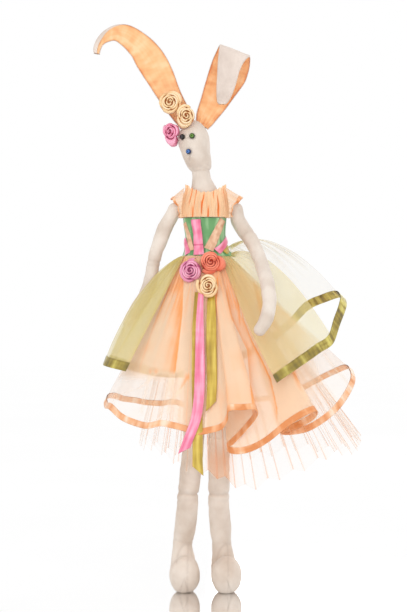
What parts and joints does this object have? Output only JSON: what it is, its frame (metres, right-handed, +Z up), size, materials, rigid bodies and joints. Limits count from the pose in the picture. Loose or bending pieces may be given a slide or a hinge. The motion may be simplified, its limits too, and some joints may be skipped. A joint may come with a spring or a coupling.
{
  "type": "rabbit doll",
  "caption": "Stuffed cotton rabbit doll with long folded ears and slim limbs, in a layered sheer dress with ribbon roses.",
  "frame": {"origin": "on the floor under the middle of the whole doll, dress and ears included", "axes": "+Z up, -Y the way that the doll faces, +X the viewer's right"},
  "size_m": [0.2678, 0.229, 0.5683],
  "materials": {
    "cotton": "matt woven cotton",
    "peach_satin": "satin",
    "chiffon": "sheer chiffon",
    "tulle": "sheer tulle",
    "organza": "crisp sheer organza",
    "olive_satin": "satin ribbon",
    "green_satin": "satin",
    "pink_satin": "satin ribbon",
    "hem_satin": "satin ribbon",
    "coral_satin": "satin ribbon",
    "cream_satin": "satin ribbon",
    "mauve_satin": "satin ribbon",
    "black_bead": "polished bead",
    "green_bead": "polished bead",
    "blue_bead": "polished bead",
    "thread": "twisted cotton thread",
    "wire": "bare wire"
  },
  "bodies": {
    "torso": {"torso": "cotton", "shoulder_thread": "thread", "bodice": "green_satin", "bodice_ribbon_peach_left": "peach_satin", "bodice_ribbon_peach_right": "peach_satin", "bodice_ribbon_pink_left": "pink_satin", "bodice_ribbon_pink_right": "pink_satin", "bodice_ribbon_olive": "olive_satin", "bodice_ribbon_pink_front": "pink_satin", "collar": "chiffon", "cap_left": "peach_satin", "cap_right": "peach_satin", "petticoat": "tulle", "chiffon_skirt": "chiffon", "chiffon_skirt_hem": "hem_satin", "overskirt": "organza", "overskirt_hem": "olive_satin", "overskirt_over_arm": "organza", "overskirt_over_arm_hem": "olive_satin", "waist_rose_pink": "mauve_satin", "waist_rose_coral": "coral_satin", "waist_rose_cream": "cream_satin", "ribbon_tail_pink": "pink_satin", "ribbon_tail_olive_long": "olive_satin", "ribbon_tail_olive_short": "olive_satin"},
    "head": {"head": "cotton", "eye_left": "black_bead", "eye_right": "green_bead", "nose": "blue_bead", "head_rose_cream_upper": "cream_satin", "head_rose_cream_lower": "cream_satin", "head_rose_pink": "mauve_satin"},
    "ear_left": {"ear_lining_left": "peach_satin", "ear_back_left": "cotton", "ear_wire_left": "wire"},
    "ear_tip_left": {"ear_tip_lining_left": "peach_satin", "ear_tip_back_left": "cotton"},
    "ear_right": {"ear_lining_right": "peach_satin", "ear_back_right": "cotton", "ear_wire_right": "wire"},
    "ear_tip_right": {"ear_tip_lining_right": "peach_satin", "ear_tip_back_right": "cotton"},
    "arm_left": {"arm_left": "cotton"},
    "arm_right": {"arm_right": "cotton"},
    "thigh_left": {"thigh_left": "cotton", "knee_left": "cotton"},
    "shin_left": {"shin_left": "cotton"},
    "thigh_right": {"thigh_right": "cotton", "knee_right": "cotton"},
    "shin_right": {"shin_right": "cotton"}
  },
  "joints": [
    {"name": "neck_turn", "type": "hinge", "parent": "torso", "child": "head", "pos_m": [-0.02703, 0.00688, 0.423], "axis": [0, 0, 1], "range_deg": [-20, 20]},
    {"name": "ear_left_bend", "type": "hinge", "parent": "head", "child": "ear_left", "pos_m": [-0.04053, 0.00888, 0.468], "axis": [-0.829, 0, -0.5592], "range_deg": [0, 30]},
    {"name": "ear_left_fold", "type": "hinge", "parent": "ear_left", "child": "ear_tip_left", "pos_m": [-0.1133, 0.00872, 0.55956], "axis": [0.1219, 0, 0.9925], "range_deg": [-20, 30]},
    {"name": "ear_right_bend", "type": "hinge", "parent": "head", "child": "ear_right", "pos_m": [-0.02553, 0.00888, 0.4665], "axis": [-0.9135, 0, 0.4067], "range_deg": [0, 30]},
    {"name": "ear_right_fold", "type": "hinge", "parent": "ear_right", "child": "ear_tip_right", "pos_m": [0.00752, 0.00709, 0.5417], "axis": [-0.9336, 0, 0.3584], "range_deg": [-10, 75]},
    {"name": "shoulder_left_swing", "type": "hinge", "parent": "torso", "child": "arm_left", "pos_m": [-0.05403, 0.00688, 0.379], "axis": [-1, 0, 0], "range_deg": [0, 45], "deforming": ["overskirt_over_arm", "overskirt_over_arm_hem", "cap_left"]},
    {"name": "shoulder_right_swing", "type": "hinge", "parent": "torso", "child": "arm_right", "pos_m": [0.00897, 0.00688, 0.379], "axis": [-1, 0, 0], "range_deg": [0, 110], "deforming": ["cap_right"]},
    {"name": "hip_left_swing", "type": "hinge", "parent": "torso", "child": "thigh_left", "pos_m": [-0.03253, 0.01088, 0.295], "axis": [-1, 0, 0], "range_deg": [-15, 25]},
    {"name": "hip_right_swing", "type": "hinge", "parent": "torso", "child": "thigh_right", "pos_m": [-0.00853, 0.01088, 0.295], "axis": [-1, 0, 0], "range_deg": [-15, 25]},
    {"name": "knee_left_bend", "type": "hinge", "parent": "thigh_left", "child": "shin_left", "pos_m": [-0.03993, 0.02138, 0.097], "axis": [1, 0, 0], "range_deg": [0, 90], "deforming": ["knee_left"]},
    {"name": "knee_right_bend", "type": "hinge", "parent": "thigh_right", "child": "shin_right", "pos_m": [-0.00853, 0.01988, 0.097], "axis": [1, 0, 0], "range_deg": [0, 90], "deforming": ["knee_right"]}
  ]
}
